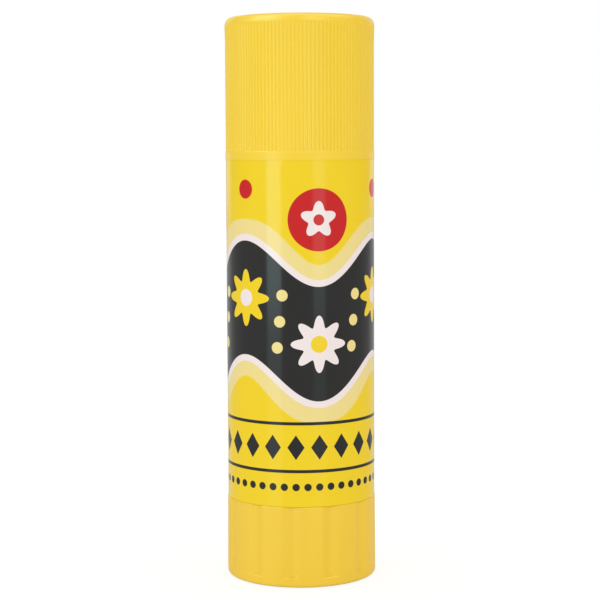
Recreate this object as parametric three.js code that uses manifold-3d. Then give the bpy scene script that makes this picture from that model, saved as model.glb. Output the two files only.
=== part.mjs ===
// A glue stick: a ribbed push-on cap over a necked barrel with a printed film wrap, and a fluted
// knob at the foot that turns a threaded spindle, so that a carrier lifts the glue up the bore.
// Millimetres, +Z up, origin at the centre of the foot. The stick stands closed, glue wound down.
import * as THREE from "three";
import { mergeGeometries, mergeVertices } from "three/addons/utils/BufferGeometryUtils.js";
import Module from "manifold-3d";

const wasm = await Module();
wasm.setup();

// Glue
const glueRadius = 12.6;
const glueLength = 71;
const glueTopEdge = 0.6;
const glueInCupGap = 0.15;

// Barrel
const boreGap = 0.25;
const bodyLength = 68.9;
const neckLength = 14;
const neckWall = 1;
const beadHeight = 0.1;
const beadWidth = 1.4;
const beadAboveShoulder = 2.5;
const mouthChamfer = 0.35;
const socketStep = 1;
const seamGap = 0.2;
const guideRibCount = 4;
const guideRibHeight = 0.5;
const guideRibWidth = 1.6;
const guideRibBelowMouth = 5;

// Film wrap round the barrel
const filmThickness = 0.1;
const filmGap = 0.04;
const filmInset = 0.2;
const filmOverlap = 3;

// Cap
const capHeight = 28.5;
const capSideGap = 0.2;
const capSeatGap = 0.2;
const capWall = 0.95;
const capTopWall = 1.5;
const capTopEdge = 1.3;
const capRimHeight = 1.5;
const capProudOfFilm = 0.06;
const ribCount = 120;
const ribDepth = 0.2;
const ribGrooveWidth = 0.4;
const ribBelowTop = 1.5;
const ribRunOut = 0.8;
const lipBelowMouth = 2.5;
const lipWidth = 1.2;
const lipGap = 0.1;

// Knob
const knobHeight = 16.2;
const knobDraft = 0.1;
const knobProudOfFilm = 0.09;
const knobFloor = 1.6;
const footRecess = 0.5;
const footRimWidth = 2.4;
const footEdge = 0.9;
const knobTopEdge = 0.3;
const fluteCount = 12;
const fluteFirstDegrees = -97.5;
const fluteDepth = 0.38;
const fluteCurve = 5.3;
const fluteAboveFoot = 2;
const fluteEndSlope = 0.5;
const spigotLength = 7;
const spigotWall = 1.2;
const spigotGap = 0.2;
const spigotLeadIn = 0.4;
const snapHeight = 0.4;
const snapWidth = 1.4;
const snapAboveSeam = 4;
const snapGap = 0.2;
const hubWall = 1.4;
const webCount = 6;
const webThickness = 1;
const webBelowSeam = 3;

// Spindle
const footAcrossFlats = 6.4;
const footDepth = 10;
const footGap = 0.1;
const flangeThickness = 1.3;
const coreRadius = 3;
const threadDepth = 1;
const threadLead = 5;
const threadRootWidth = 2.2;
const threadCrestWidth = 1;
const tipChamfer = 1.5;
const spindleBelowGlueTop = 9;

// Carrier
const carrierParkGap = 0.5;
const carrierFloor = 1.6;
const cupHeight = 9;
const cupWall = 0.8;
const keywayGap = 0.3;
const nutLength = 8;
const nutWall = 1.5;
const threadGap = 0.28;

// Radii, from the glue outwards
const boreRadius = glueRadius + boreGap;
const neckRadius = boreRadius + neckWall;
const capInnerRadius = neckRadius + capSideGap;
const capRadius = capInnerRadius + capWall + ribDepth;
const filmRadius = capRadius - capProudOfFilm;
const filmInnerRadius = filmRadius - filmThickness;
const barrelRadius = filmInnerRadius - filmGap;
const knobTopRadius = filmRadius + knobProudOfFilm;
const knobFootRadius = knobTopRadius + knobDraft;
const socketRadius = boreRadius + socketStep;
const spigotRadius = socketRadius - spigotGap;
const knobInnerRadius = spigotRadius - spigotWall;
const guideRibInner = boreRadius - guideRibHeight;
const keywayInner = guideRibInner - keywayGap;
const keywayWidth = guideRibWidth + 2 * keywayGap;
const cupInnerRadius = glueRadius - cupWall;
const threadRadius = coreRadius + threadDepth;
const threadBoreRadius = threadRadius + threadGap;
const nutRadius = threadBoreRadius + nutWall;
const hubRadius = footAcrossFlats / Math.SQRT2 + footGap + hubWall;

// Heights, from the foot upwards
const barrelFoot = knobHeight + seamGap;
const shoulder = barrelFoot + bodyLength;
const mouth = shoulder + neckLength;
const spigotTop = knobHeight + spigotLength;
const carrierFoot = spigotTop + carrierParkGap;
const carrierTop = carrierFoot + carrierFloor;
const socketTop = carrierFoot;
const cupRim = carrierTop + cupHeight;
const nutTop = carrierFoot + nutLength;
const glueFoot = carrierTop + glueInCupGap;
const glueTop = glueFoot + glueLength;
const spindleTop = glueTop - spindleBelowGlueTop;
const hubTop = knobHeight;
const flangeFoot = hubTop + footGap;
const flangeTop = flangeFoot + flangeThickness;
const capFoot = shoulder + capSeatGap;
const capTop = capFoot + capHeight;
const capCeiling = capTop - capTopWall;

// Where the thread starts, and how many facets go round each kind of piece
const threadFoot = flangeTop + threadRootWidth / 2;
const shellColumns = 60;
const innerColumns = 48;
const fluteColumns = 36;
const threadColumns = 18;
const arcSteps = 4;

// How far a joined shape sinks into what carries it, and a cutting shape sticks out
const sink = 0.4;
const past = 1;

// A closed geometry as a solid whose shared corners are merged.
function solidOf(geometry) {
  const bare = geometry.index ? geometry.toNonIndexed() : geometry.clone();
  bare.deleteAttribute("normal");
  bare.deleteAttribute("uv");
  const merged = mergeVertices(bare, 1e-4);
  const mesh = new wasm.Mesh({
    numProp: 3,
    vertProperties: merged.attributes.position.array,
    triVerts: new Uint32Array(merged.index.array),
  });
  return new wasm.Manifold(mesh);
}

// A solid as a geometry with flat faces.
function geometryOf(solid) {
  const mesh = solid.getMesh();
  const geometry = new THREE.BufferGeometry();
  geometry.setAttribute("position", new THREE.BufferAttribute(mesh.vertProperties, mesh.numProp));
  geometry.setIndex(new THREE.BufferAttribute(mesh.triVerts, 1));
  const faceted = geometry.toNonIndexed();
  faceted.computeVertexNormals();
  return faceted;
}

// The solid that an anticlockwise outline of [radius, height] corners sweeps round +Z.
function turned(outline, columns) {
  const corners = outline.map(([radius, height]) => new THREE.Vector2(radius, height));
  if (outline[0][0] > 0) corners.push(corners[0].clone());
  const geometry = new THREE.LatheGeometry(corners, columns);
  geometry.rotateX(Math.PI / 2);
  return solidOf(geometry);
}

// A plain round bar between two heights.
function bar(radius, low, high, columns) {
  return turned([[0, low], [radius, low], [radius, high], [0, high]], columns);
}

// The corners of an arc in an outline, between two directions in degrees.
function arc(centreRadius, centreHeight, radius, fromDegrees, toDegrees) {
  const corners = [];
  for (let i = 0; i <= arcSteps; i++) {
    const angle = THREE.MathUtils.degToRad(fromDegrees + ((toDegrees - fromDegrees) * i) / arcSteps);
    corners.push([centreRadius + radius * Math.cos(angle), centreHeight + radius * Math.sin(angle)]);
  }
  return corners;
}

// The four corners of a low ring with sloped sides that stands on an upright wall, going up it.
function ring(wallRadius, height, middle, width) {
  const crestWidth = 0.4 * width;
  return [
    [wallRadius, middle - width / 2],
    [wallRadius + height, middle - crestWidth / 2],
    [wallRadius + height, middle + crestWidth / 2],
    [wallRadius, middle + width / 2],
  ];
}

// A flat slab on the radius towards +X, of an outline of [radius, height] corners and a width.
function slab(outline, width) {
  const side = new THREE.Shape(outline.map(([radius, height]) => new THREE.Vector2(radius, height)));
  const geometry = new THREE.ExtrudeGeometry(side, { depth: width, bevelEnabled: false });
  geometry.translate(0, 0, -width / 2);
  geometry.rotateX(Math.PI / 2);
  return geometry;
}

// The four corners of a slab that is a plain block between two radii and two heights.
function block(inner, outer, low, high) {
  return [[inner, low], [outer, low], [outer, high], [inner, high]];
}

// Copies of a geometry at equal angles round +Z, as one solid.
function around(geometry, count, firstDegrees = 0) {
  const copies = [];
  for (let i = 0; i < count; i++) {
    const degrees = firstDegrees + (360 * i) / count;
    copies.push(geometry.clone().rotateZ(THREE.MathUtils.degToRad(degrees)));
  }
  return solidOf(mergeGeometries(copies));
}

// A left-hand screw about +Z that covers two heights, with a gap added to all its sides. Its ridge
// crosses the +X direction at threadFoot and at each lead above and below it.
function screw(gap, low, high) {
  const halfRoot = threadRootWidth / 2 + gap;
  const halfCrest = threadCrestWidth / 2 + gap;
  const root = coreRadius + gap;
  const crest = threadRadius + gap;
  const section = [[root, -halfRoot], [crest, -halfCrest], [crest, halfCrest], [root, halfRoot]];
  const sides = section.length;
  const turn = sides * threadColumns;
  const first = threadColumns * (Math.floor((low - threadFoot) / threadLead) - 1);
  const last = threadColumns * (Math.ceil((high - threadFoot) / threadLead) + 1);
  const points = [];
  for (let i = first; i <= last; i++) {
    const angle = (-2 * Math.PI * i) / threadColumns;
    const height = threadFoot + (threadLead * i) / threadColumns;
    for (const [radius, offset] of section) {
      points.push(radius * Math.cos(angle), radius * Math.sin(angle), height + offset);
    }
  }
  const end = sides * (last - first);
  const faces = [];
  for (let here = 0; here < end; here += sides) {
    for (let k = 0; k < sides; k++) {
      const above = k < sides - 1 ? here + k + 1 : here + turn;
      if (above + sides > end + sides - 1) continue;
      faces.push(here + k, above, here + sides + k, above, above + sides, here + sides + k);
    }
  }
  const foot = points.length / 3;
  const head = foot + 1;
  points.push(0, 0, threadFoot + (threadLead * first) / threadColumns - threadLead);
  points.push(0, 0, threadFoot + (threadLead * last) / threadColumns + threadLead);
  const footLoop = [];
  const headLoop = [];
  for (let i = 0; i <= threadColumns; i++) {
    footLoop.push(sides * i);
    headLoop.push(end - sides * i + sides - 1);
  }
  for (let k = sides - 1; k > 0; k--) footLoop.push(k);
  for (let k = 0; k < sides - 1; k++) headLoop.push(end + k);
  footLoop.forEach((corner, i) => faces.push(foot, corner, footLoop[(i + 1) % footLoop.length]));
  headLoop.forEach((corner, i) => faces.push(head, corner, headLoop[(i + 1) % headLoop.length]));
  const geometry = new THREE.BufferGeometry();
  geometry.setAttribute("position", new THREE.Float32BufferAttribute(points, 3));
  geometry.setIndex(faces);
  return solidOf(geometry);
}

// One upright groove of the cap's ribs, with a flat foot and a top that slopes out to the surface.
function ribGroove() {
  const floor = capRadius - ribDepth;
  const low = capFoot + capRimHeight;
  const high = capTop - ribBelowTop;
  const outline = [
    [floor, low],
    [capRadius + ribDepth, low],
    [capRadius + ribDepth, high + ribRunOut],
    [floor, high - ribRunOut],
  ];
  return slab(outline, ribGrooveWidth);
}

// Cap: a closed shell with fine upright ribs outside and a sealing lip inside.
function makeCap() {
  const outside = turned(
    [
      [0, capFoot],
      [capRadius, capFoot],
      ...arc(capRadius - capTopEdge, capTop - capTopEdge, capTopEdge, 0, 90),
      [0, capTop],
    ],
    ribCount,
  );
  const lip = ring(capInnerRadius, lipGap - capSideGap, mouth - lipBelowMouth, lipWidth);
  const inside = turned(
    [
      [0, capFoot - past],
      [capInnerRadius, capFoot - past],
      ...lip,
      [capInnerRadius, capCeiling],
      [0, capCeiling],
    ],
    innerColumns,
  );
  return outside.subtract(inside).subtract(around(ribGroove(), ribCount));
}

// Barrel: a thick tube with a neck for the cap, a socket for the knob and guide ribs in its bore.
function makeBarrel() {
  const bead = ring(neckRadius, beadHeight, shoulder + beadAboveShoulder, beadWidth);
  const snap = knobHeight + snapAboveSeam;
  const snapGroove = ring(socketRadius, snapHeight, snap, snapWidth + 2 * snapGap).reverse();
  const tube = turned(
    [
      [socketRadius, barrelFoot],
      [barrelRadius, barrelFoot],
      [barrelRadius, shoulder],
      [neckRadius, shoulder],
      ...bead,
      [neckRadius, mouth - mouthChamfer],
      [neckRadius - mouthChamfer, mouth],
      [boreRadius, mouth],
      [boreRadius, socketTop],
      [socketRadius, socketTop],
      ...snapGroove,
    ],
    shellColumns,
  );
  const ribFoot = socketTop + guideRibHeight;
  const ribHigh = mouth - guideRibBelowMouth;
  const ribOutline = [
    [boreRadius + sink, ribFoot],
    [boreRadius + sink, ribHigh + guideRibHeight],
    [boreRadius, ribHigh + guideRibHeight],
    [guideRibInner, ribHigh],
    [guideRibInner, ribFoot],
  ];
  return tube.add(around(slab(ribOutline, guideRibWidth), guideRibCount));
}

// Film wrap: a thin printed sleeve whose ends overlap in a strip down the back.
function makeFilm() {
  const low = barrelFoot + filmInset;
  const high = shoulder - filmInset;
  const sleeve = turned(
    [[filmInnerRadius, low], [filmRadius, low], [filmRadius, high], [filmInnerRadius, high]],
    shellColumns,
  );
  const halfAngle = filmOverlap / 2 / filmRadius;
  const middle = Math.PI / 2;
  const strip = new THREE.Shape();
  strip.absarc(0, 0, filmRadius + filmThickness, middle - halfAngle, middle + halfAngle, false);
  strip.absarc(0, 0, filmRadius - filmThickness / 2, middle + halfAngle, middle - halfAngle, true);
  const overlap = new THREE.ExtrudeGeometry(strip, {
    depth: high - low,
    bevelEnabled: false,
    curveSegments: arcSteps,
  });
  overlap.translate(0, 0, low);
  return sleeve.add(solidOf(overlap));
}

// The outline of the knob with its spigot, its snap ring and the hub, before any cuts.
function knobOutline() {
  const rimInner = knobFootRadius - footRimWidth;
  return [
    [0, footRecess],
    [rimInner - footRecess, footRecess],
    [rimInner, 0],
    ...arc(knobFootRadius - footEdge, footEdge, footEdge, -90, 0),
    [knobTopRadius, knobHeight - knobTopEdge],
    [knobTopRadius - knobTopEdge, knobHeight],
    [spigotRadius, knobHeight],
    ...ring(spigotRadius, snapHeight, knobHeight + snapAboveSeam, snapWidth),
    [spigotRadius, spigotTop - spigotLeadIn],
    [spigotRadius - spigotLeadIn, spigotTop],
    [knobInnerRadius, spigotTop],
    [knobInnerRadius, footRecess + knobFloor],
    [hubRadius, footRecess + knobFloor],
    [hubRadius, hubTop],
    [0, hubTop],
  ];
}

// Knob: a cup with scalloped sides, a snap-in spigot and a webbed hub with a square socket.
function makeKnob() {
  const flute = new THREE.LatheGeometry(
    [
      new THREE.Vector2(0, fluteAboveFoot),
      new THREE.Vector2(fluteCurve - fluteDepth, fluteAboveFoot),
      new THREE.Vector2(fluteCurve, fluteAboveFoot + fluteEndSlope),
      new THREE.Vector2(fluteCurve, knobHeight + seamGap / 2),
      new THREE.Vector2(0, knobHeight + seamGap / 2),
    ],
    fluteColumns,
  );
  flute.rotateX(Math.PI / 2);
  flute.translate(knobTopRadius - fluteDepth + fluteCurve, 0, 0);
  const floorTop = footRecess + knobFloor;
  const webTop = knobHeight - webBelowSeam;
  const webOutline = block(hubRadius - sink, knobInnerRadius + sink, floorTop - sink, webTop);
  const socketWidth = footAcrossFlats + 2 * footGap;
  const socket = new THREE.BoxGeometry(socketWidth, socketWidth, footDepth + past);
  socket.translate(0, 0, flangeFoot - footDepth - 2 * footGap + (footDepth + past) / 2);
  return turned(knobOutline(), shellColumns)
    .subtract(around(flute, fluteCount, fluteFirstDegrees))
    .add(around(slab(webOutline, webThickness), webCount))
    .subtract(solidOf(socket));
}

// Spindle: a left-hand screw with a flange, and a square foot that the knob's hub drives.
function makeSpindle() {
  const foot = new THREE.BoxGeometry(footAcrossFlats, footAcrossFlats, footDepth + sink);
  foot.translate(0, 0, flangeFoot + sink - (footDepth + sink) / 2);
  const low = flangeTop - sink;
  const envelope = turned(
    [
      [0, low],
      [threadRadius + past, low],
      [threadRadius + past, spindleTop - tipChamfer - past],
      [threadRadius - tipChamfer, spindleTop],
      [0, spindleTop],
    ],
    threadColumns,
  );
  return screw(0, low, spindleTop)
    .intersect(envelope)
    .add(bar(hubRadius, flangeFoot, flangeTop, innerColumns))
    .add(solidOf(foot));
}

// Carrier: a shallow slotted cup under the glue with a threaded nut that rides on the spindle.
function makeCarrier() {
  const cup = turned(
    [
      [0, carrierFoot],
      [glueRadius, carrierFoot],
      [glueRadius, cupRim],
      [cupInnerRadius, cupRim],
      [cupInnerRadius, carrierTop],
      [nutRadius, carrierTop],
      [nutRadius, nutTop],
      [0, nutTop],
    ],
    innerColumns,
  );
  const low = carrierFoot - past;
  const slotInner = cupInnerRadius - glueInCupGap / 2;
  const slotFoot = carrierTop - glueInCupGap;
  const keyway = [
    [keywayInner, low],
    [glueRadius + past, low],
    [glueRadius + past, cupRim + past],
    [slotInner, cupRim + past],
    [slotInner, slotFoot],
    [keywayInner, slotFoot],
  ];
  return cup
    .subtract(around(slab(keyway, keywayWidth), guideRibCount))
    .subtract(screw(threadGap, low, nutTop + past));
}

// Glue: a cast stick with a narrower foot in the cup and a blind bore for the nut and the spindle.
function makeGlue() {
  const footRadius = cupInnerRadius - glueInCupGap;
  const nutBore = nutRadius + glueInCupGap;
  const stick = turned(
    [
      [nutBore, glueFoot],
      [footRadius, glueFoot],
      [footRadius, cupRim + glueInCupGap],
      [glueRadius, cupRim + glueInCupGap],
      [glueRadius, glueTop - glueTopEdge],
      [glueRadius - glueTopEdge, glueTop],
      [0, glueTop],
      [0, spindleTop + glueInCupGap],
      [threadBoreRadius, spindleTop + glueInCupGap],
      [threadBoreRadius, nutTop + glueInCupGap],
      [nutBore, nutTop + glueInCupGap],
    ],
    innerColumns,
  );
  const keyway = block(keywayInner, glueRadius + past, cupRim - past, glueTop + past);
  return stick.subtract(around(slab(keyway, keywayWidth), guideRibCount));
}

// A named piece with its own finish.
function piece(name, solid, color, roughness) {
  const material = new THREE.MeshStandardMaterial({ color, roughness, metalness: 0 });
  const mesh = new THREE.Mesh(geometryOf(solid), material);
  mesh.name = name;
  return mesh;
}

const glueStick = new THREE.Group();
glueStick.add(
  piece("cap", makeCap(), "#f4d248", 0.42),
  piece("barrel", makeBarrel(), "#f3cf4e", 0.4),
  piece("film_wrap", makeFilm(), "#f3d52f", 0.16),
  piece("turn_knob", makeKnob(), "#f1ca49", 0.42),
  piece("spindle", makeSpindle(), "#f1f0ea", 0.45),
  piece("glue_carrier", makeCarrier(), "#f1f0ea", 0.45),
  piece("glue", makeGlue(), "#f4f1e6", 0.35),
);
export default glueStick;
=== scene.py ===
# Looks of a glue stick: a ribbed cap, a necked barrel in a printed film wrap, a fluted knob and
# the glue itself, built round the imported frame. Metres, +Z up, -Y towards the camera.
import math

import bpy
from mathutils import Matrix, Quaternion, Vector


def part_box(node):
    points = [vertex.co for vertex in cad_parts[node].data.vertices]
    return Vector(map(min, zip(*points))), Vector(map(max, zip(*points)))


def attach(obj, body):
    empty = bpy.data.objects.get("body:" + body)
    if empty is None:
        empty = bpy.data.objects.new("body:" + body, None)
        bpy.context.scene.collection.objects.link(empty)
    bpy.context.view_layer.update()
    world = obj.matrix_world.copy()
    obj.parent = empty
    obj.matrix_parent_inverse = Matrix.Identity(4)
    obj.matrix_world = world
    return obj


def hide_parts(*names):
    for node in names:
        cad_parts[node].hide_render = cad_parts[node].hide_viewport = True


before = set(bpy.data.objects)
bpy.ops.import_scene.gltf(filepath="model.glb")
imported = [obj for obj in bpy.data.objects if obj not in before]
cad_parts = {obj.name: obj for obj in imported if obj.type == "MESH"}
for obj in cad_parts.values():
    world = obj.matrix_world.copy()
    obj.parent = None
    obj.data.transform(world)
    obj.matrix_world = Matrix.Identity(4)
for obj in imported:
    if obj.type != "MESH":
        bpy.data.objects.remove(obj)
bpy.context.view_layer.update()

MM = 0.001


def extent(node):
    """The foot, the top and the reach along +X of a CAD node."""
    low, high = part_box(node)
    return low.z, high.z, high.x


# Places taken from the frame
cap_foot, cap_top, cap_radius = extent("cap")
barrel_foot, mouth, barrel_radius = extent("barrel")
film_radius = extent("film_wrap")[2]
_, spigot_top, knob_radius = extent("turn_knob")
glue_foot, glue_top, _ = extent("glue")
spindle_top = extent("spindle")[1]
carrier_foot, cup_rim, _ = extent("glue_carrier")

# Cap
cap_inner_radius = 14.05 * MM
cap_ceiling = cap_top - 1.5 * MM
cap_top_edge = 1.6 * MM
cap_top_fillet = cap_top_edge - 0.02 * MM  # its arc starts just above the ribs' last row
cap_foot_edge = 0.012 * MM
cap_ceiling_edge = 0.8 * MM
cap_mouth_edge = 0.12 * MM
cap_columns = 1080
rib_count = 120
rib_depth = 0.21 * MM
rib_groove_width = 0.5 * MM
rib_step = 0.075 * MM
rib_low = cap_foot + 1.45 * MM
rib_high = cap_top - cap_top_edge
rib_ledge = 0.18 * MM
rib_run_out = 0.4 * MM
rib_taper = 4 * MM
lip_middle = mouth - 2.5 * MM
lip_width = 1.2 * MM
lip_height = 0.1 * MM
gate_radius = 1.5 * MM
gate_depth = 0.3 * MM
gate_edge = 0.12 * MM

# Barrel
bore_radius = 12.85 * MM
neck_radius = 13.85 * MM
shoulder = mouth - 14 * MM
bead_middle = shoulder + 2.5 * MM
bead_width = 1.4 * MM
bead_height = 0.1 * MM
mouth_edge = 0.32 * MM
neck_foot_edge = 0.15 * MM
shoulder_edge = 0.12 * MM
barrel_foot_edge = 0.1 * MM
socket_radius = 13.85 * MM
socket_top = carrier_foot
barrel_columns = 360
guide_count = 4
guide_width = 1.6 * MM
guide_height = 0.5 * MM
guide_low = socket_top + guide_height
guide_high = mouth - 5 * MM
guide_end = guide_high + guide_height
guide_foot_run = 0.05 * MM
guide_side_run = 0.1 * MM
rounding_slack = 0.01 * MM

# Film wrap; where two pieces meet outside, a closed stick shows only a fine line
seam_line = 0.003 * MM
film_inset = 0.001 * MM
film_thickness = 0.1 * MM
film_edge = 0.01 * MM
film_columns = 720
film_overlap = 3 * MM
film_ramp = 1.1 * MM

# Knob
knob_top = barrel_foot - 0.2 * MM
knob_top_radius = knob_radius - 0.1 * MM
knob_columns = 720
knob_top_edge = 0.32 * MM
foot_recess = 0.5 * MM
foot_rim_width = 2.4 * MM
foot_edge = 0.72 * MM
recess_edge = 0.2 * MM
foot_gate_edge = 0.1 * MM
flute_count = 12
flute_first = math.radians(-97.5)
flute_depth = 0.5 * MM
flute_half_width = 2 * MM
flute_low = 1.85 * MM
flute_ledge = 0.18 * MM
flute_ledge_end = flute_low + 1.1 * flute_ledge
flute_ledge_slope = 1.15
flute_full = flute_low + 1.3 * flute_ledge
spigot_radius = 13.65 * MM
spigot_inner = 12.45 * MM
spigot_edge = 0.35 * MM
spigot_inner_edge = 0.15 * MM
spigot_foot_edge = 0.1 * MM
snap_middle = knob_top + 4 * MM
snap_width = 1.4 * MM
snap_height = 0.4 * MM
snap_gap = 0.2 * MM
knob_floor = foot_recess + 1.6 * MM
hub_radius = 6.03 * MM
hub_top_edge = 0.2 * MM
knob_floor_edge = 0.5 * MM
web_count = 6
web_thickness = 1 * MM
web_top = knob_top - 3 * MM
web_sink = 0.4 * MM
square_width = 6.6 * MM
square_foot = 6.1 * MM
square_top = knob_top + 1 * MM

# Glue
glue_radius = 12.6 * MM
glue_foot_radius = 11.65 * MM
glue_step = cup_rim + 0.15 * MM
glue_top_edge = 0.6 * MM
glue_columns = 360
nut_bore_radius = 5.93 * MM
nut_bore_top = carrier_foot + 8.15 * MM
thread_bore_radius = 4.28 * MM
thread_bore_top = spindle_top + 0.15 * MM
glue_edge = 0.2 * MM
glue_step_edge = 0.15 * MM
keyway_width = 2.2 * MM
keyway_depth = 0.55 * MM
keyway_foot = glue_step - 0.1 * MM
keyway_side_run = 0.15 * MM
keyway_fade = (glue_radius - 2 * MM, glue_radius - 0.7 * MM)
glue_dish = 0.3 * MM

# Smoothing
fillet_steps = 6
fillet_reach = 1.4
sharp_angle = math.radians(40)

# Camera, fitted to the photograph
photo_width = 600
focal_length_px = 1700.2
sensor_width_mm = 36
camera_target = Vector((0, 0, 57 * MM))
camera_distance = 350 * MM
camera_elevation = math.radians(5.02)
camera_drop = math.radians(0.08)
camera_swing = math.radians(0.019)
camera_roll = math.radians(0.26)

# Studio light; these glows show in reflections only, and the heights and depths are those of a
# direction 1 long, with depth away from the camera
ambient_strength = 0.98
room_glow = 0.55
side_glow = 0.25
room_blur = 0.3
backdrop_glow = 0.83
backdrop_depths = (0.62, 0.82)
backdrop_fade = 0.55
backdrop_fade_depths = (0.86, 1.02)
backdrop_fade_heights = (0.3, 0.1)
overhead_glow = 2.4
overhead_heights = (0.6, 0.8)
overhead_depths = (-0.2, 0.4)
overhead_blur = 0.12
lamp_heights = (0.3, 0.88)
lamp_blur = 0.08
left_lamp_glow = 4.2
left_lamp_span = (math.radians(-85), math.radians(-38))
right_lamp_glow = 2.9
right_lamp_span = (math.radians(8), math.radians(41))
seen_white = (1, 1, 1, 1)
ambient_tint = (1.03, 1, 1, 1)
lamp_tint = (0.75, 1, 1.25, 1)

# Floor; the camera sees its glow and its shaded gray, and reflections see the room's glow on it
floor_size = 4
floor_gap = 0.05 * MM
floor_glow = 0.78
floor_shaded_gray = 0.25
floor_gray = 0.9
floor_gloss_share = 0.35
floor_gloss_roughness = 0.1

# Softboxes
softbox_distance = 0.6
softbox_height = 0.2
softbox_tint = (0.7, 1, 1)
softbox_left = {"azimuth": math.radians(-40.8), "width": 0.244, "radiance": 2.12}
softbox_right = {"azimuth": math.radians(29), "width": 0.2, "radiance": 0.92}

# Yellow plastics, in colours as 0 to 255 on a screen
cap_yellow = (245.5, 208.6, 48.4)
barrel_yellow = (241.4, 207.6, 55.6)
knob_yellow = (243.3, 202.6, 49.7)
cap_roughness = 0.3
satin_roughness = 0.34
cap_grain = 0.002 * MM
satin_grain = 0.004 * MM

# Print on the film, in millimetres
line_blur = 0.05
wave_count = 3
wave_first = math.radians(14)
half_wave = math.pi / wave_count
wave_middle = 53.5
wave_swing = 4.5
ribbon_half = 11.4
white_edge = 1.3
pale_edge = 3
daisy_reach = 5.7
daisy_petals = 8
daisy_petal_share = 0.2
daisy_eye = 1.7
sprinkle_lifts = (-5.2, 0, 5.2)
sprinkle_radius = 1.15
sprinkle_lean = 0.1
disc_height = 73.6
disc_radius = 6.2
flower_reach = 3.7
flower_petals = 5
flower_eye = 1.1
dot_height = 79.6
dot_radius = 1.9
lozenge_height = 28.4
lozenge_half = 2.5
lozenge_steepness = 1.45
lozenge_count = 20
rule_heights = (33.2, 23.6)
rule_half = 0.32
row_height = 20.4
row_dot_radius = 0.75
row_dot_count = 40
margin_half = 0.35
margin_gap = 0.3


# Outlines and meshes

def ease(value, start, end):
    """0 before start, 1 after end, and a smooth climb between them."""
    share = min(max((value - start) / (end - start), 0), 1)
    return share * share * (3 - 2 * share)


def hump(aside):
    """1 at 0, down along a cosine to 0 at -1 and 1, and 0 beyond."""
    return 0.5 + 0.5 * math.cos(math.pi * min(abs(aside), 1))


def between(low, high, steps):
    """Evenly spaced values from low to high, both included."""
    return [low + (high - low) * i / steps for i in range(steps + 1)]


def rounded(corners, steps=fillet_steps):
    """Outline points from (radius, height, fillet) corners, with an arc at each corner that has a
    fillet, and where there is room a point near each end of the arc that keeps the flats flat."""
    points = []
    for i, (radius, height, fillet) in enumerate(corners):
        here = Vector((radius, height))
        if fillet == 0:
            points.append(here)
            continue
        last_corner = corners[i - 1]
        next_corner = corners[(i + 1) % len(corners)]
        before = Vector(last_corner[:2]) - here
        after = Vector(next_corner[:2]) - here
        room_before = before.length - fillet_reach * last_corner[2]
        room_after = after.length - fillet_reach * next_corner[2]
        before.normalize()
        after.normalize()
        half = before.angle(after) / 2
        cut = fillet / math.tan(half)
        centre = here + (before + after).normalized() * fillet / math.sin(half)
        first = here + before * cut - centre
        last = here + after * cut - centre
        guard = cut + fillet / 3
        if guard < room_before:
            points.append(here + before * guard)
        points += [centre + first.slerp(last, share) * fillet for share in between(0, 1, steps)]
        if guard < room_after:
            points.append(here + after * guard)
    return [tuple(point) for point in points]


def ring(wall_radius, rise, middle, width):
    """Corners of a low rounded ring on an upright wall, going up it; reversed for going down."""
    heights = between(middle - width / 2, middle + width / 2, steps=8)
    bulge = [rise * hump((height - middle) / (width / 2)) for height in heights]
    return [(wall_radius + out, height, 0) for out, height in zip(bulge, heights)]


def wall(radius, heights):
    """Corners without a fillet up an upright wall."""
    return [(radius, height, 0) for height in heights]


def turned(name, outline, columns, warp=None):
    """A closed smooth mesh that an anticlockwise outline of (radius, height) sweeps round +Z.
    warp(radius, height, angle) may move each point of it."""
    points = []
    rings = []
    for radius, height in outline:
        start = len(points)
        if radius == 0:
            points.append((0, 0, height))
            rings.append([start] * (columns + 1))
            continue
        for column in range(columns):
            angle = math.tau * column / columns
            r, z = warp(radius, height, angle) if warp else (radius, height)
            points.append((r * math.cos(angle), r * math.sin(angle), z))
        rings.append([start + column % columns for column in range(columns + 1)])
    if outline[0][0] > 0:
        rings.append(rings[0])
    faces = []
    for lower, upper in zip(rings, rings[1:]):
        for i in range(columns):
            corners = (lower[i], lower[i + 1], upper[i + 1], upper[i])
            faces.append(list(dict.fromkeys(corners)))
    mesh = bpy.data.meshes.new(name)
    mesh.from_pydata(points, [], faces)
    mesh.shade_smooth()
    mesh.set_sharp_from_angle(angle=sharp_angle)
    piece = bpy.data.objects.new(name, mesh)
    bpy.context.scene.collection.objects.link(piece)
    return piece


def box_mesh(name, size, centre, turn=0):
    """A helper block for joining to or cutting from a piece."""
    mesh = bpy.data.meshes.new(name)
    signs = [(x, y, z) for x in (-1, 1) for y in (-1, 1) for z in (-1, 1)]
    points = [Vector(centre) + Vector(size) * 0.5 * Vector(sign) for sign in signs]
    faces = [(0, 1, 3, 2), (4, 6, 7, 5), (0, 4, 5, 1), (2, 3, 7, 6), (0, 2, 6, 4), (1, 5, 7, 3)]
    mesh.from_pydata([tuple(point) for point in points], [], faces)
    block = bpy.data.objects.new(name, mesh)
    block.rotation_euler.z = turn
    bpy.context.scene.collection.objects.link(block)
    return block


def combine(piece, tool, operation):
    """Joins or cuts a helper block, applies the result to the piece and removes the block."""
    step = piece.modifiers.new(operation.lower(), "BOOLEAN")
    step.object = tool
    step.operation = operation
    step.solver = "EXACT"
    bpy.context.view_layer.update()
    shaped = piece.evaluated_get(bpy.context.evaluated_depsgraph_get())
    mesh = bpy.data.meshes.new_from_object(shaped)
    piece.modifiers.clear()
    piece.data = mesh
    bpy.data.objects.remove(tool)


def off_middle(angle, count, first=0):
    """The angle from the nearest of count equal directions, the first of which is given."""
    step = math.tau / count
    return (angle - first + step / 2) % step - step / 2


# Pieces

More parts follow.
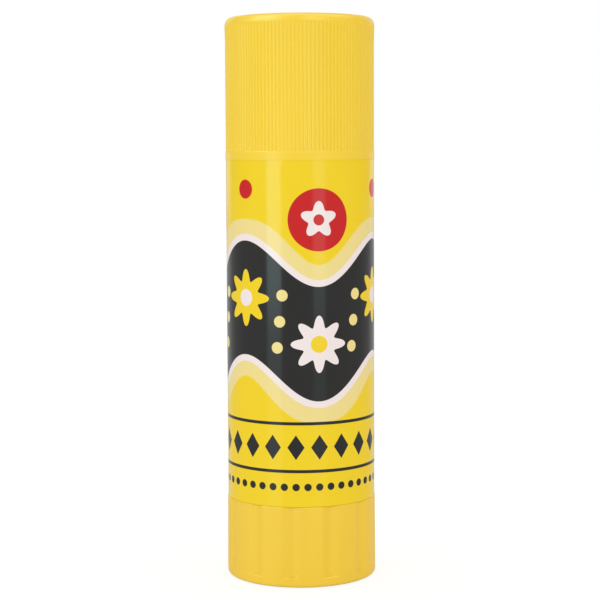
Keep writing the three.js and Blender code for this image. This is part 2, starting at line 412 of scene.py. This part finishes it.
def make_cap():
    """Closed shell with fine rounded ribs, a plain rim, a sealing lip and a gate mark on top."""

    def ribs(radius, height, angle):
        if radius < cap_inner_radius + lip_height or height > rib_high:
            return radius, height
        below_top = rib_high - height
        aside = off_middle(angle, rib_count) * cap_radius / (rib_groove_width / 2)
        groove = (rib_depth - rib_step) * hump(aside) * ease(below_top, 0, rib_run_out)
        depth = rib_step * ease(below_top, 0, rib_taper) + groove
        depth *= min(max(height - rib_low, 0) / rib_ledge, 1)
        return radius - depth, height

    outline = rounded([
        (0, cap_ceiling, 0),
        (cap_inner_radius, cap_ceiling, cap_ceiling_edge),
        *reversed(ring(cap_inner_radius, -lip_height, lip_middle, lip_width)),
        (cap_inner_radius, shoulder + seam_line, cap_mouth_edge),
        (cap_radius, shoulder + seam_line, cap_foot_edge),
        (cap_radius, rib_low - rib_ledge / 2, 0),
        *wall(cap_radius, between(rib_low, rib_low + rib_ledge, steps=4)),
        (cap_radius, rib_low + 1.5 * rib_ledge, 0),
        *wall(cap_radius, between(rib_high - rib_taper, rib_high - 1 * MM, steps=4)),
        *wall(cap_radius, between(rib_high - rib_run_out, rib_high, steps=5)),
        (cap_radius, cap_top, cap_top_fillet),
        (gate_radius, cap_top, gate_edge),
        (gate_radius - gate_depth, cap_top - gate_depth, gate_edge),
        (0, cap_top - gate_depth, 0),
    ])
    return turned("ribbed_cap", outline, cap_columns, ribs)


def make_barrel():
    """Tube with a beaded neck, a socket for the knob and guide ribs down its bore."""
    side = guide_width / 2

    def guides(radius, height, angle):
        on_bore = abs(radius - bore_radius) < rounding_slack
        if not on_bore or not guide_low <= height <= guide_end:
            return radius, height
        across = abs(off_middle(angle, guide_count)) * radius
        rise = guide_height * (1 - ease(across, side - guide_side_run, side + guide_side_run))
        rise *= ease(height, guide_low, guide_low + guide_foot_run)
        rise *= 1 - ease(height, guide_high, guide_end)
        return radius - rise, height

    groove = ring(socket_radius, snap_height, snap_middle, snap_width + 2 * snap_gap)
    outline = rounded([
        (socket_radius, barrel_foot, barrel_foot_edge),
        (barrel_radius, barrel_foot, barrel_foot_edge),
        (barrel_radius, shoulder, shoulder_edge),
        (neck_radius, shoulder, neck_foot_edge),
        *ring(neck_radius, bead_height, bead_middle, bead_width),
        (neck_radius, mouth, mouth_edge),
        (bore_radius, mouth, mouth_edge),
        *wall(bore_radius, between(guide_end, guide_high, steps=4)),
        (bore_radius, guide_low + guide_foot_run, 0),
        (bore_radius, guide_low, 0),
        (bore_radius, socket_top, 0),
        (socket_radius, socket_top, 0),
        *reversed(groove),
    ])
    return turned("necked_barrel", outline, barrel_columns, guides)


def make_film():
    """Thin sleeve round the barrel; down the back its outer end lies over its inner end."""
    edge = film_overlap / 2 / film_radius
    ramp = film_ramp / film_radius
    cut = math.tau / film_columns

    def overlap(radius, height, angle):
        if radius < film_radius - film_thickness / 2:
            return radius, height
        turn = off_middle(angle, 1, math.pi / 2)
        rise = ease(turn, -edge, -edge + ramp) * (1 - ease(turn, edge - cut, edge))
        return radius + film_thickness * rise, height

    outline = rounded([
        (film_radius - film_thickness, barrel_foot + film_inset, 2 * film_edge),
        (film_radius, barrel_foot + film_inset, film_edge),
        (film_radius, shoulder - film_inset, film_edge),
        (film_radius - film_thickness, shoulder - film_inset, 2 * film_edge),
    ], steps=3)
    return turned("printed_wrap", outline, film_columns, overlap)


def make_knob():
    """Fluted cup with a snap-in spigot, a webbed hub with a square socket and a recessed foot."""
    rim_top = barrel_foot - seam_line

    def flutes(radius, height, angle):
        beyond_rim = height > rim_top + film_inset or radius < spigot_radius + flute_depth
        if beyond_rim or height < flute_low:
            return radius, height
        aside = off_middle(angle, flute_count, flute_first) * radius / flute_half_width
        depth = flute_depth * hump(aside)
        if height < flute_ledge_end:
            depth = min(depth, (height - flute_low) * flute_ledge_slope)
        return radius - depth, height

    rim_inner = knob_radius - foot_rim_width
    outline = rounded([
        (0, foot_recess + gate_depth, 0),
        (gate_radius - gate_depth, foot_recess + gate_depth, foot_gate_edge),
        (gate_radius, foot_recess, foot_gate_edge),
        (rim_inner - foot_recess, foot_recess, recess_edge),
        (rim_inner, 0, recess_edge),
        (knob_radius, 0, foot_edge),
        *wall(knob_radius, between(flute_low, flute_low + flute_ledge, steps=3)),
        (knob_radius, flute_full, 0),
        (knob_radius, flute_low + 1 * MM, 0),
        (knob_top_radius, rim_top, knob_top_edge),
        (spigot_radius, rim_top, spigot_foot_edge),
        *ring(spigot_radius, snap_height, snap_middle, snap_width),
        (spigot_radius, spigot_top, spigot_edge),
        (spigot_inner, spigot_top, spigot_inner_edge),
        (spigot_inner, knob_floor, knob_floor_edge),
        (hub_radius, knob_floor, knob_floor_edge),
        (hub_radius, knob_top, hub_top_edge),
        (0, knob_top, 0),
    ])
    knob = turned("fluted_knob", outline, knob_columns, flutes)
    web_foot = knob_floor - web_sink
    web_size = (spigot_inner - hub_radius + 2 * web_sink, web_thickness, web_top - web_foot)
    web_centre = ((spigot_inner + hub_radius) / 2, 0, (web_foot + web_top) / 2)
    for i in range(web_count):
        web = box_mesh("web", web_size, web_centre, math.tau * i / web_count)
        combine(knob, web, "UNION")
    square_size = (square_width, square_width, square_top - square_foot)
    square = box_mesh("square", square_size, (0, 0, (square_foot + square_top) / 2))
    combine(knob, square, "DIFFERENCE")
    knob.data.set_sharp_from_angle(angle=sharp_angle)
    return knob


def make_glue():
    """Cast stick with slots left by the barrel's guides, a stepped foot and a dished top."""
    side = keyway_width / 2

    def cast(radius, height, angle):
        if height < keyway_foot:
            return radius, height
        across = abs(off_middle(angle, guide_count)) * radius
        slot = keyway_depth * (1 - ease(across, side - keyway_side_run, side + keyway_side_run))
        slot *= ease(radius, *keyway_fade)
        sunk = 0
        if height > glue_top - glue_top_edge:
            sunk = glue_dish * (1 - (radius / glue_radius) ** 2) ** 2
        return radius - slot, height - sunk

    top_radius = glue_radius - glue_top_edge
    top_shares = between(0.95, 0.05, steps=14)
    outline = rounded([
        (0, thread_bore_top, 0),
        (thread_bore_radius, thread_bore_top, glue_edge),
        (thread_bore_radius, nut_bore_top, glue_edge),
        (nut_bore_radius, nut_bore_top, glue_edge),
        (nut_bore_radius, glue_foot, glue_edge),
        (glue_foot_radius, glue_foot, glue_edge),
        (glue_foot_radius, glue_step, glue_edge),
        (glue_radius, glue_step, glue_step_edge),
        (glue_radius, glue_top, glue_top_edge),
        *((top_radius * share, glue_top, 0) for share in top_shares),
        (0, glue_top - glue_dish, 0),
    ])
    return turned("glue_block", outline, glue_columns, cast)


# Materials

class Field:
    """A number that varies over a surface: a node's output. Sums, products and so on add nodes."""

    def __init__(self, tree, socket):
        self.tree = tree
        self.socket = socket

    def calc(self, operation, *others, swapped=False):
        node = self.tree.nodes.new("ShaderNodeMath")
        node.operation = operation
        values = [self, *others]
        if swapped:
            values.reverse()
        for socket, value in zip(node.inputs, values):
            connect(self.tree, socket, value)
        return Field(self.tree, node.outputs[0])

    def __add__(self, other):
        return self.calc("ADD", other)

    def __sub__(self, other):
        return self.calc("SUBTRACT", other)

    def __rsub__(self, other):
        return self.calc("SUBTRACT", other, swapped=True)

    def __mul__(self, other):
        return self.calc("MULTIPLY", other)

    def __truediv__(self, other):
        return self.calc("DIVIDE", other)

    def __abs__(self):
        return self.calc("ABSOLUTE")

    __radd__ = __add__
    __rmul__ = __mul__

    def cos(self):
        return self.calc("COSINE")

    def sin(self):
        return self.calc("SINE")

    def root(self):
        return self.calc("SQRT")

    def most(self, other):
        return self.calc("MAXIMUM", other)

    def wrapped(self, half):
        """The same number brought between -half and half by whole steps of twice half."""
        return self.calc("WRAP", half, -half)

    def eased(self, start, end):
        """0 at start and 1 at end, with a smooth climb between them."""
        node = self.tree.nodes.new("ShaderNodeMapRange")
        node.interpolation_type = "SMOOTHSTEP"
        for name, value in (("Value", self), ("From Min", start), ("From Max", end)):
            connect(self.tree, node.inputs[name], value)
        return Field(self.tree, node.outputs["Result"])

    def within(self, low, high, blur):
        """1 from low to high and 0 elsewhere, blurred at both ends."""
        return self.eased(low - blur, low + blur) * self.eased(high + blur, high - blur)


def connect(tree, socket, value):
    """Gives a socket a link from a field, or a plain value."""
    if isinstance(value, Field):
        tree.links.new(value.socket, socket)
    else:
        socket.default_value = value


def linear(red, green, blue):
    """A colour given as 0 to 255 on a screen, as the shader's linear values."""

    def one(value):
        share = value / 255
        return share / 12.92 if share <= 0.04045 else ((share + 0.055) / 1.055) ** 2.4

    return (one(red), one(green), one(blue), 1)


def blend_colours(tree, share, first, second):
    """first where share is 0 and second where it is 1."""
    node = tree.nodes.new("ShaderNodeMix")
    node.data_type = "RGBA"
    inputs = {socket.name: socket for socket in node.inputs if socket.enabled}
    connect(tree, inputs["Factor"], share)
    connect(tree, inputs["A"], first)
    connect(tree, inputs["B"], second)
    return Field(tree, next(socket for socket in node.outputs if socket.enabled))


def noise(tree, place, scale, detail=2, stretch=1):
    """Soft random values about 0.5, scale to the metre, drawn out along Z by stretch."""
    mapping = tree.nodes.new("ShaderNodeMapping")
    mapping.inputs["Scale"].default_value = (1, 1, 1 / stretch)
    tree.links.new(place, mapping.inputs["Vector"])
    node = tree.nodes.new("ShaderNodeTexNoise")
    tree.links.new(mapping.outputs["Vector"], node.inputs["Vector"])
    node.inputs["Scale"].default_value = scale
    node.inputs["Detail"].default_value = detail
    return Field(tree, node.outputs["Fac"])


def bump(tree, surface, height, distance):
    """Gives a surface relief from a field, distance high in metres."""
    node = tree.nodes.new("ShaderNodeBump")
    node.inputs["Distance"].default_value = distance
    connect(tree, node.inputs["Height"], height)
    tree.links.new(node.outputs["Normal"], surface.inputs["Normal"])


def new_material(name):
    """An empty node material with one Principled surface: tree, surface and place on the piece."""
    material = bpy.data.materials.new(name)
    material.use_nodes = True
    tree = material.node_tree
    tree.nodes.clear()
    surface = tree.nodes.new("ShaderNodeBsdfPrincipled")
    output = tree.nodes.new("ShaderNodeOutputMaterial")
    tree.links.new(surface.outputs["BSDF"], output.inputs["Surface"])
    place = tree.nodes.new("ShaderNodeTexCoord").outputs["Object"]
    return material, tree, surface, place


def coordinates(tree, place):
    """X, Y and Z of a place on the piece, in millimetres."""
    node = tree.nodes.new("ShaderNodeSeparateXYZ")
    tree.links.new(place, node.inputs["Vector"])
    return [Field(tree, node.outputs[axis]) / MM for axis in "XYZ"]


def let_light_in(surface, weight, reach, scale):
    """Lets light wander under a surface, as far as reach in red, green and blue times scale."""
    surface.inputs["Subsurface Weight"].default_value = weight
    surface.inputs["Subsurface Radius"].default_value = reach
    surface.inputs["Subsurface Scale"].default_value = scale


def moulded_plastic(name, screen_colour, roughness, grain, scuffed_foot=False):
    """Satin moulded plastic: fine grain, faint flow marks, uneven gloss, perhaps a rubbed foot."""
    deepening = 0.97
    flow_contrast = (0.25, 0.75)
    swell_share = 2.5
    roughness_spread = 0.1
    scuff_heights_mm = (0.02, 0.7)
    scuff_contrast = (0.4, 0.75)
    scuff_strength = 0.35
    scuff_whiteness = 0.35
    scuff_roughness = 0.25

    material, tree, surface, place = new_material(name)
    colour = linear(*screen_colour)
    flow = noise(tree, place, scale=90, detail=3, stretch=4)
    grain_height = noise(tree, place, scale=5200, detail=2)
    swell = noise(tree, place, scale=420, detail=2, stretch=2)
    deep = tuple(channel * deepening for channel in colour[:3]) + (1,)
    shade = blend_colours(tree, flow.eased(*flow_contrast), deep, colour)
    uneven = noise(tree, place, scale=700, detail=4, stretch=3)
    gloss = roughness - roughness_spread / 2 + roughness_spread * uneven
    if scuffed_foot:
        height = coordinates(tree, place)[2]
        marks = noise(tree, place, scale=1500, detail=5).eased(*scuff_contrast)
        rubbed = marks * (1 - height.eased(*scuff_heights_mm)) * scuff_strength
        pale = tuple(channel + scuff_whiteness * (1 - channel) for channel in colour[:3]) + (1,)
        shade = blend_colours(tree, rubbed, shade, pale)
        gloss = gloss + scuff_roughness * rubbed
    connect(tree, surface.inputs["Base Color"], shade)
    connect(tree, surface.inputs["Roughness"], gloss)
    bump(tree, surface, grain_height + swell_share * swell, grain)
    return material


def disc(across, along, radius):
    """How far inside a disc a place is, from its lengths across and along from the middle."""
    return radius - (across * across + along * along).root()


def daisy(across, along, reach, petals):
    """About how far inside the outline of a daisy a place is, from the same two lengths."""
    wave = (across.calc("ARCTAN2", along) * petals).cos()
    return disc(across, along, reach * (1 - daisy_petal_share + daisy_petal_share * wave))


class Print:
    """What is printed on the film: its yellow, and the inks that come over it one by one."""
    yellow = linear(241, 208, 22)
    pale = linear(238, 218, 140)
    white = linear(240, 228, 225)
    red = linear(200, 22, 24)
    dark = linear(34, 33, 32)

    def __init__(self, tree, place):
        x, y, self.height = coordinates(tree, place)
        self.tree = tree
        self.radius = film_radius / MM
        self.turn = x.calc("ARCTAN2", 0 - y)
        self.trough = self.around(wave_count, wave_first)
        self.crest = self.around(wave_count, wave_first + half_wave)
        self.shade = self.yellow

    def around(self, count, first):
        """The way round from the nearest of count equal directions, the first of which is given."""
        return (self.turn - first).wrapped(math.pi / count) * self.radius

    def add(self, inside, ink):
        """Prints an ink over what is there, where inside is above 0."""
        share = inside.eased(-line_blur, line_blur)
        self.shade = blend_colours(self.tree, share, self.shade, ink)


def print_ribbon(film):
    """A dark wavy ribbon with a white and a pale edge."""
    phase = (film.turn - wave_first) * wave_count
    slope = phase.sin() * (wave_swing * wave_count / film.radius)
    off_wave = abs(film.height - wave_middle + phase.cos() * wave_swing) - ribbon_half
    outside = off_wave / (slope * slope + 1).root()
    film.add(white_edge + pale_edge - outside, film.pale)
    film.add(white_edge - outside, film.white)
    film.add(0 - outside, film.dark)


def print_daisies(film):
    """On the ribbon, a white daisy in each trough, a yellow one in each crest and dots between."""
    for across, lift, petals, eye in (
        (film.trough, -wave_swing, film.white, film.yellow),
        (film.crest, wave_swing, film.yellow, film.white),
    ):
        along = film.height - (wave_middle + lift)
        film.add(daisy(across, along, daisy_reach, daisy_petals), petals)
        film.add(disc(across, along, daisy_eye), eye)
    sprinkle = film.around(2 * wave_count, wave_first + half_wave / 2)
    for lift in sprinkle_lifts:
        along = film.height - (wave_middle + lift)
        film.add(disc(sprinkle - sprinkle_lean * lift, along, sprinkle_radius), film.pale)


def print_discs(film):
    """Above the ribbon, a red disc with a white flower over each trough and a dot over each crest."""
    along = film.height - disc_height
    film.add(disc(film.trough, along, disc_radius), film.red)
    film.add(daisy(film.trough, along, flower_reach, flower_petals), film.white)
    film.add(disc(film.trough, along, flower_eye), film.red)
    film.add(disc(film.crest, film.height - dot_height, dot_radius), film.red)


def print_border(film):
    """Below the ribbon, lozenges between two rules and a row of dots."""
    across = film.around(lozenge_count, wave_first)
    along = film.height - lozenge_height
    film.add(lozenge_half - abs(along) - lozenge_steepness * abs(across), film.dark)
    for rule_height in rule_heights:
        film.add(rule_half - abs(film.height - rule_height), film.dark)
    across = film.around(row_dot_count, wave_first)
    film.add(disc(across, film.height - row_height, row_dot_radius), film.dark)


def print_margin(film):
    """A narrow white line beside the film's seam."""
    margin_middle = film_overlap / MM / 2 + margin_gap
    film.add(margin_half - abs(film.around(1, math.pi) + margin_middle), film.white)


def printed_film(name):
    """Glossy, slightly wavy film with its print."""
    least_roughness = 0.11
    roughness_spread = 0.05
    film_ior = 1.46
    relief = 0.012 * MM
    fine_share = 0.06

    material, tree, surface, place = new_material(name)
    film = Print(tree, place)
    print_ribbon(film)
    print_daisies(film)
    print_discs(film)
    print_border(film)
    print_margin(film)
    connect(tree, surface.inputs["Base Color"], film.shade)
    gloss = least_roughness + roughness_spread * noise(tree, place, scale=260, detail=3, stretch=3)
    connect(tree, surface.inputs["Roughness"], gloss)
    surface.inputs["IOR"].default_value = film_ior
    waves = noise(tree, place, scale=300, detail=1, stretch=6)
    grain = noise(tree, place, scale=3500, detail=2)
    bump(tree, surface, waves + fine_share * grain, relief)
    return material


def glue_mass(name):
    """Waxy off-white paste that lets some light in, with casting streaks and small pores."""
    deep = linear(238, 233, 214)
    pale = linear(247, 244, 232)
    cloud_contrast = (0.3, 0.7)
    pore_contrast = (0.2, 0.42)
    streak_share = 1.2
    pore_share = 0.4
    relief = 0.02 * MM
    least_roughness = 0.3
    roughness_spread = 0.2
    paste_ior = 1.45

    material, tree, surface, place = new_material(name)
    cloud = noise(tree, place, scale=160, detail=4, stretch=2)
    shade = blend_colours(tree, cloud.eased(*cloud_contrast), deep, pale)
    connect(tree, surface.inputs["Base Color"], shade)
    gloss = least_roughness + roughness_spread * noise(tree, place, scale=500, detail=4)
    connect(tree, surface.inputs["Roughness"], gloss)
    let_light_in(surface, weight=0.35, reach=(1, 0.9, 0.75), scale=1.2 * MM)
    surface.inputs["IOR"].default_value = paste_ior
    pores = noise(tree, place, scale=2600, detail=2).eased(*pore_contrast)
    streaks = noise(tree, place, scale=600, detail=3, stretch=12)
    bump(tree, surface, streak_share * streaks + pore_share * pores, relief)
    return material


def white_plastic(name):
    """Undyed moulded plastic: milky, satin, with a fine grain."""
    deep = linear(232, 232, 226)
    pale = linear(241, 241, 236)
    cloud_contrast = (0.3, 0.7)
    relief = 0.006 * MM
    least_roughness = 0.36
    roughness_spread = 0.14

    material, tree, surface, place = new_material(name)
    cloud = noise(tree, place, scale=200, detail=3, stretch=3)
    shade = blend_colours(tree, cloud.eased(*cloud_contrast), deep, pale)
    connect(tree, surface.inputs["Base Color"], shade)
    gloss = least_roughness + roughness_spread * noise(tree, place, scale=800, detail=3)
    connect(tree, surface.inputs["Roughness"], gloss)
    let_light_in(surface, weight=0.2, reach=(1, 0.95, 0.9), scale=0.8 * MM)
    bump(tree, surface, noise(tree, place, scale=4200, detail=2), relief)
    return material


def dress(piece, body, node, material):
    """Gives a piece its finish and its body, and hides the CAD node that it stands for."""
    piece.data.materials.clear()
    piece.data.materials.append(material)
    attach(piece, body)
    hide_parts(node)


# Studio

def ray_kinds(tree):
    """Whether a ray is the camera's, also through a clear piece, and whether it is reflected."""
    path = tree.nodes.new("ShaderNodeLightPath")
    camera = Field(tree, path.outputs["Is Camera Ray"])
    clear = Field(tree, path.outputs["Is Transmission Ray"])
    return camera.most(clear), Field(tree, path.outputs["Is Glossy Ray"])


def mix_shaders(tree, share, first, second):
    """The shader first where share is 0 and second where it is 1."""
    node = tree.nodes.new("ShaderNodeMixShader")
    connect(tree, node.inputs[0], share)
    tree.links.new(first, node.inputs[1])
    tree.links.new(second, node.inputs[2])
    return node.outputs[0]


def matte(tree, gray):
    """A shader that scatters light evenly."""
    node = tree.nodes.new("ShaderNodeBsdfDiffuse")
    node.inputs["Color"].default_value = (gray, gray, gray, 1)
    return node.outputs["BSDF"]


def glow(tree, strength):
    """A shader that gives off white light."""
    node = tree.nodes.new("ShaderNodeEmission")
    node.inputs["Strength"].default_value = strength
    return node.outputs["Emission"]


def make_world():
    """A plain studio: white where it is seen, soft where it lights. Reflections show a dimmer room
    with a pale backdrop behind the stick, a glow overhead and two tall lamps in front."""
    world = bpy.data.worlds.new("studio")
    world.use_nodes = True
    tree = world.node_tree
    tree.nodes.clear()
    seen, reflected = ray_kinds(tree)
    direction = tree.nodes.new("ShaderNodeSeparateXYZ")
    tree.links.new(tree.nodes.new("ShaderNodeTexCoord").outputs["Generated"], direction.inputs[0])
    side, depth, height = [Field(tree, direction.outputs[axis]) for axis in "XYZ"]
    room = room_glow - depth.eased(-room_blur, room_blur) * (room_glow - side_glow)
    fade = depth.eased(*backdrop_fade_depths) * height.eased(*backdrop_fade_heights) * backdrop_fade
    backdrop = depth.eased(*backdrop_depths) - fade
    room = room + backdrop * (backdrop_glow - side_glow)
    overhead = height.eased(*overhead_heights) * depth.within(*overhead_depths, overhead_blur)
    room = room + overhead * (overhead_glow - side_glow)
    azimuth = side.calc("ARCTAN2", 0 - depth)
    at_lamps = height.within(*lamp_heights, lamp_blur)
    left_lamp = azimuth.within(*left_lamp_span, lamp_blur) * at_lamps
    right_lamp = azimuth.within(*right_lamp_span, lamp_blur) * at_lamps
    room = room + left_lamp * left_lamp_glow + right_lamp * right_lamp_glow
    strength = ambient_strength + reflected * (room - ambient_strength)
    strength = strength + seen * (1 - strength)
    background = tree.nodes.new("ShaderNodeBackground")
    tint = blend_colours(tree, reflected * (left_lamp + right_lamp), ambient_tint, lamp_tint)
    tint = blend_colours(tree, seen, tint, seen_white)
    connect(tree, background.inputs["Color"], tint)
    connect(tree, background.inputs["Strength"], strength)
    output = tree.nodes.new("ShaderNodeOutputWorld")
    tree.links.new(background.outputs["Background"], output.inputs["Surface"])
    bpy.context.scene.world = world


def make_floor():
    """A plain white floor with a faint shadow of the stick, a little glossy in reflections."""
    half = floor_size / 2
    mesh = bpy.data.meshes.new("floor")
    corners = [(-half, -half), (half, -half), (half, half), (-half, half)]
    mesh.from_pydata([(x, y, -floor_gap) for x, y in corners], [], [(0, 1, 2, 3)])
    floor = bpy.data.objects.new("floor", mesh)
    bpy.context.scene.collection.objects.link(floor)
    material = bpy.data.materials.new("floor_white")
    material.use_nodes = True
    tree = material.node_tree
    tree.nodes.clear()
    lit = tree.nodes.new("ShaderNodeAddShader")
    tree.links.new(matte(tree, floor_shaded_gray), lit.inputs[0])
    tree.links.new(glow(tree, floor_glow), lit.inputs[1])
    mirror = tree.nodes.new("ShaderNodeBsdfGlossy")
    mirror.inputs["Roughness"].default_value = floor_gloss_roughness
    sheen = mix_shaders(tree, floor_gloss_share, glow(tree, room_glow), mirror.outputs["BSDF"])
    seen, reflected = ray_kinds(tree)
    surface = mix_shaders(tree, seen, matte(tree, floor_gray), lit.outputs[0])
    surface = mix_shaders(tree, reflected, surface, sheen)
    output = tree.nodes.new("ShaderNodeOutputMaterial")
    tree.links.new(surface, output.inputs["Surface"])
    mesh.materials.append(material)


def make_softbox(name, azimuth, width, radiance):
    """An upright soft light that stands on the floor, at an angle from the camera's side that is
    positive to the right."""
    light = bpy.data.lights.new(name, "AREA")
    light.shape = "RECTANGLE"
    light.size = width
    light.size_y = softbox_height
    light.energy = math.pi * width * softbox_height * radiance
    light.color = softbox_tint
    softbox = bpy.data.objects.new(name, light)
    place = Vector((math.sin(azimuth), -math.cos(azimuth), 0)) * softbox_distance
    softbox.location = place + Vector((0, 0, softbox_height / 2))
    softbox.rotation_mode = "QUATERNION"
    softbox.rotation_quaternion = (-place).to_track_quat("-Z", "Y")
    softbox.visible_camera = False
    bpy.context.scene.collection.objects.link(softbox)


def make_camera():
    """The camera at the photograph's angle, a little above the middle of the stick."""
    data = bpy.data.cameras.new("camera")
    data.sensor_width = sensor_width_mm
    data.lens = sensor_width_mm * focal_length_px / photo_width
    data.clip_start = 0.01
    data.clip_end = 20
    camera = bpy.data.objects.new("camera", data)
    back = Vector((0, -math.cos(camera_elevation), math.sin(camera_elevation)))
    camera.location = camera_target + back * camera_distance
    aim = (-back).to_track_quat("-Z", "Y")
    tilt = Quaternion((1, 0, 0), -camera_drop)
    swing = Quaternion((0, 1, 0), camera_swing)
    roll = Quaternion((0, 0, 1), -camera_roll)
    camera.rotation_mode = "QUATERNION"
    camera.rotation_quaternion = aim @ tilt @ swing @ roll
    bpy.context.scene.collection.objects.link(camera)
    bpy.context.scene.camera = camera


make_camera()
make_world()
make_floor()
make_softbox("softbox_left", **softbox_left)
make_softbox("softbox_right", **softbox_right)

cap_finish = moulded_plastic("cap_yellow", cap_yellow, cap_roughness, cap_grain)
barrel_finish = moulded_plastic("barrel_yellow", barrel_yellow, satin_roughness, satin_grain)
knob_finish = moulded_plastic("knob_yellow", knob_yellow, satin_roughness, satin_grain, scuffed_foot=True)
dress(make_cap(), "cap", "cap", cap_finish)
dress(make_barrel(), "body", "barrel", barrel_finish)
dress(make_film(), "body", "film_wrap", printed_film("film_print"))
dress(make_knob(), "knob", "turn_knob", knob_finish)
dress(make_glue(), "carrier", "glue", glue_mass("glue_paste"))
inner_white = white_plastic("inner_white")
for name in ("spindle", "glue_carrier"):
    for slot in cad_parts[name].material_slots:
        slot.material = inner_white

bpy.context.scene.view_settings.view_transform = "Standard"
